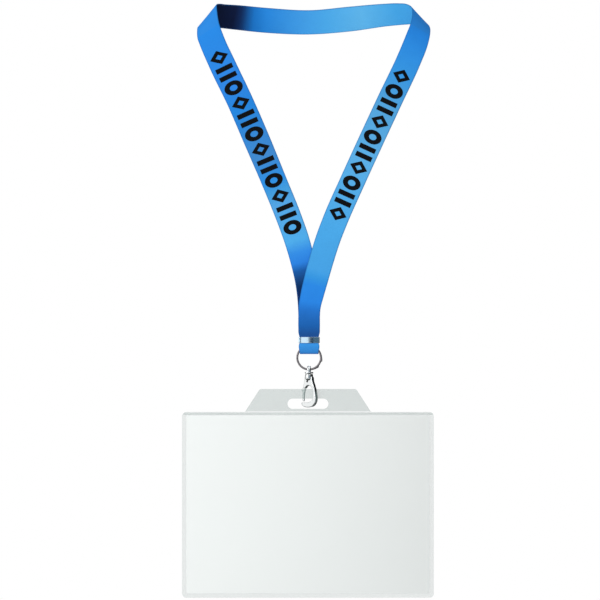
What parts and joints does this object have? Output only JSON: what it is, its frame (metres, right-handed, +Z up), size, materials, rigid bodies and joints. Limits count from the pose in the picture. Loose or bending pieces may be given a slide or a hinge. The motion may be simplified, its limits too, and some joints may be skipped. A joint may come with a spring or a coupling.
{
  "type": "lanyard badge holder",
  "caption": "Woven neck lanyard with a swivel trigger hook on a split ring, carrying a wide landscape clear vinyl badge pocket with a blank insert card.",
  "frame": {"origin": "middle of the ribbon's inner face at the nape of the neck loop, where the wearer's neck or a peg holds it up", "axes": "+X to the right seen from the front, +Y to the back (the wearer's side of the loop), +Z up"},
  "size_m": [0.2216, 0.0577, 0.5238],
  "materials": {
    "ribbon": "printed woven polyester",
    "crimp_nickel": "nickel-plated steel",
    "ring_steel": "tempered spring steel, satin",
    "hook_chrome": "polished plated die casting",
    "gate_chrome": "polished plated strip",
    "pin_steel": "bare pin",
    "spring_steel": "music wire",
    "clear_vinyl": "clear soft vinyl, welded edges",
    "card_stock": "matt blank card"
  },
  "bodies": {
    "lanyard": {"lanyard_ribbon": "ribbon", "crimp": "crimp_nickel"},
    "ring": {"split_ring": "ring_steel"},
    "swivel": {"swivel_eye": "hook_chrome"},
    "hook": {"hook_body": "hook_chrome", "gate_pin": "pin_steel", "gate_spring": "spring_steel"},
    "gate": {"hook_gate": "gate_chrome"},
    "holder": {"back_sheet": "clear_vinyl", "front_sheet": "clear_vinyl"},
    "card": {"insert_card": "card_stock"}
  },
  "joints": [
    {"name": "ring_turn", "type": "hinge", "parent": "lanyard", "child": "ring", "pos_m": [0, -0.046, -0.2953], "axis": [0, 1, 0], "range_deg": [-40, 40]},
    {"name": "eye_swing", "type": "hinge", "parent": "ring", "child": "swivel", "pos_m": [0, -0.046, -0.3057], "axis": [1, 0, 0], "range_deg": [-50, 50]},
    {"name": "hook_swivel", "type": "hinge", "parent": "swivel", "child": "hook", "pos_m": [0, -0.046, -0.3096], "axis": [0, 0, 1], "continuous": true},
    {"name": "gate_press", "type": "hinge", "parent": "hook", "child": "gate", "pos_m": [-0.00065, -0.04554, -0.3162], "axis": [-0.5736, -0.8192, 0], "range_deg": [0, 13], "stiffness_Nm_per_rad": 0.01, "springref_deg": -34.38, "deforming": ["gate_spring"]},
    {"name": "holder_tilt", "type": "hinge", "parent": "hook", "child": "holder", "pos_m": [0.0044, -0.0466, -0.3314], "axis": [0, 1, 0], "range_deg": [-10, 10]},
    {"name": "card_slide", "type": "slide", "parent": "holder", "child": "card", "axis": [0, 0, 1], "range_m": [0, 0.005]}
  ]
}
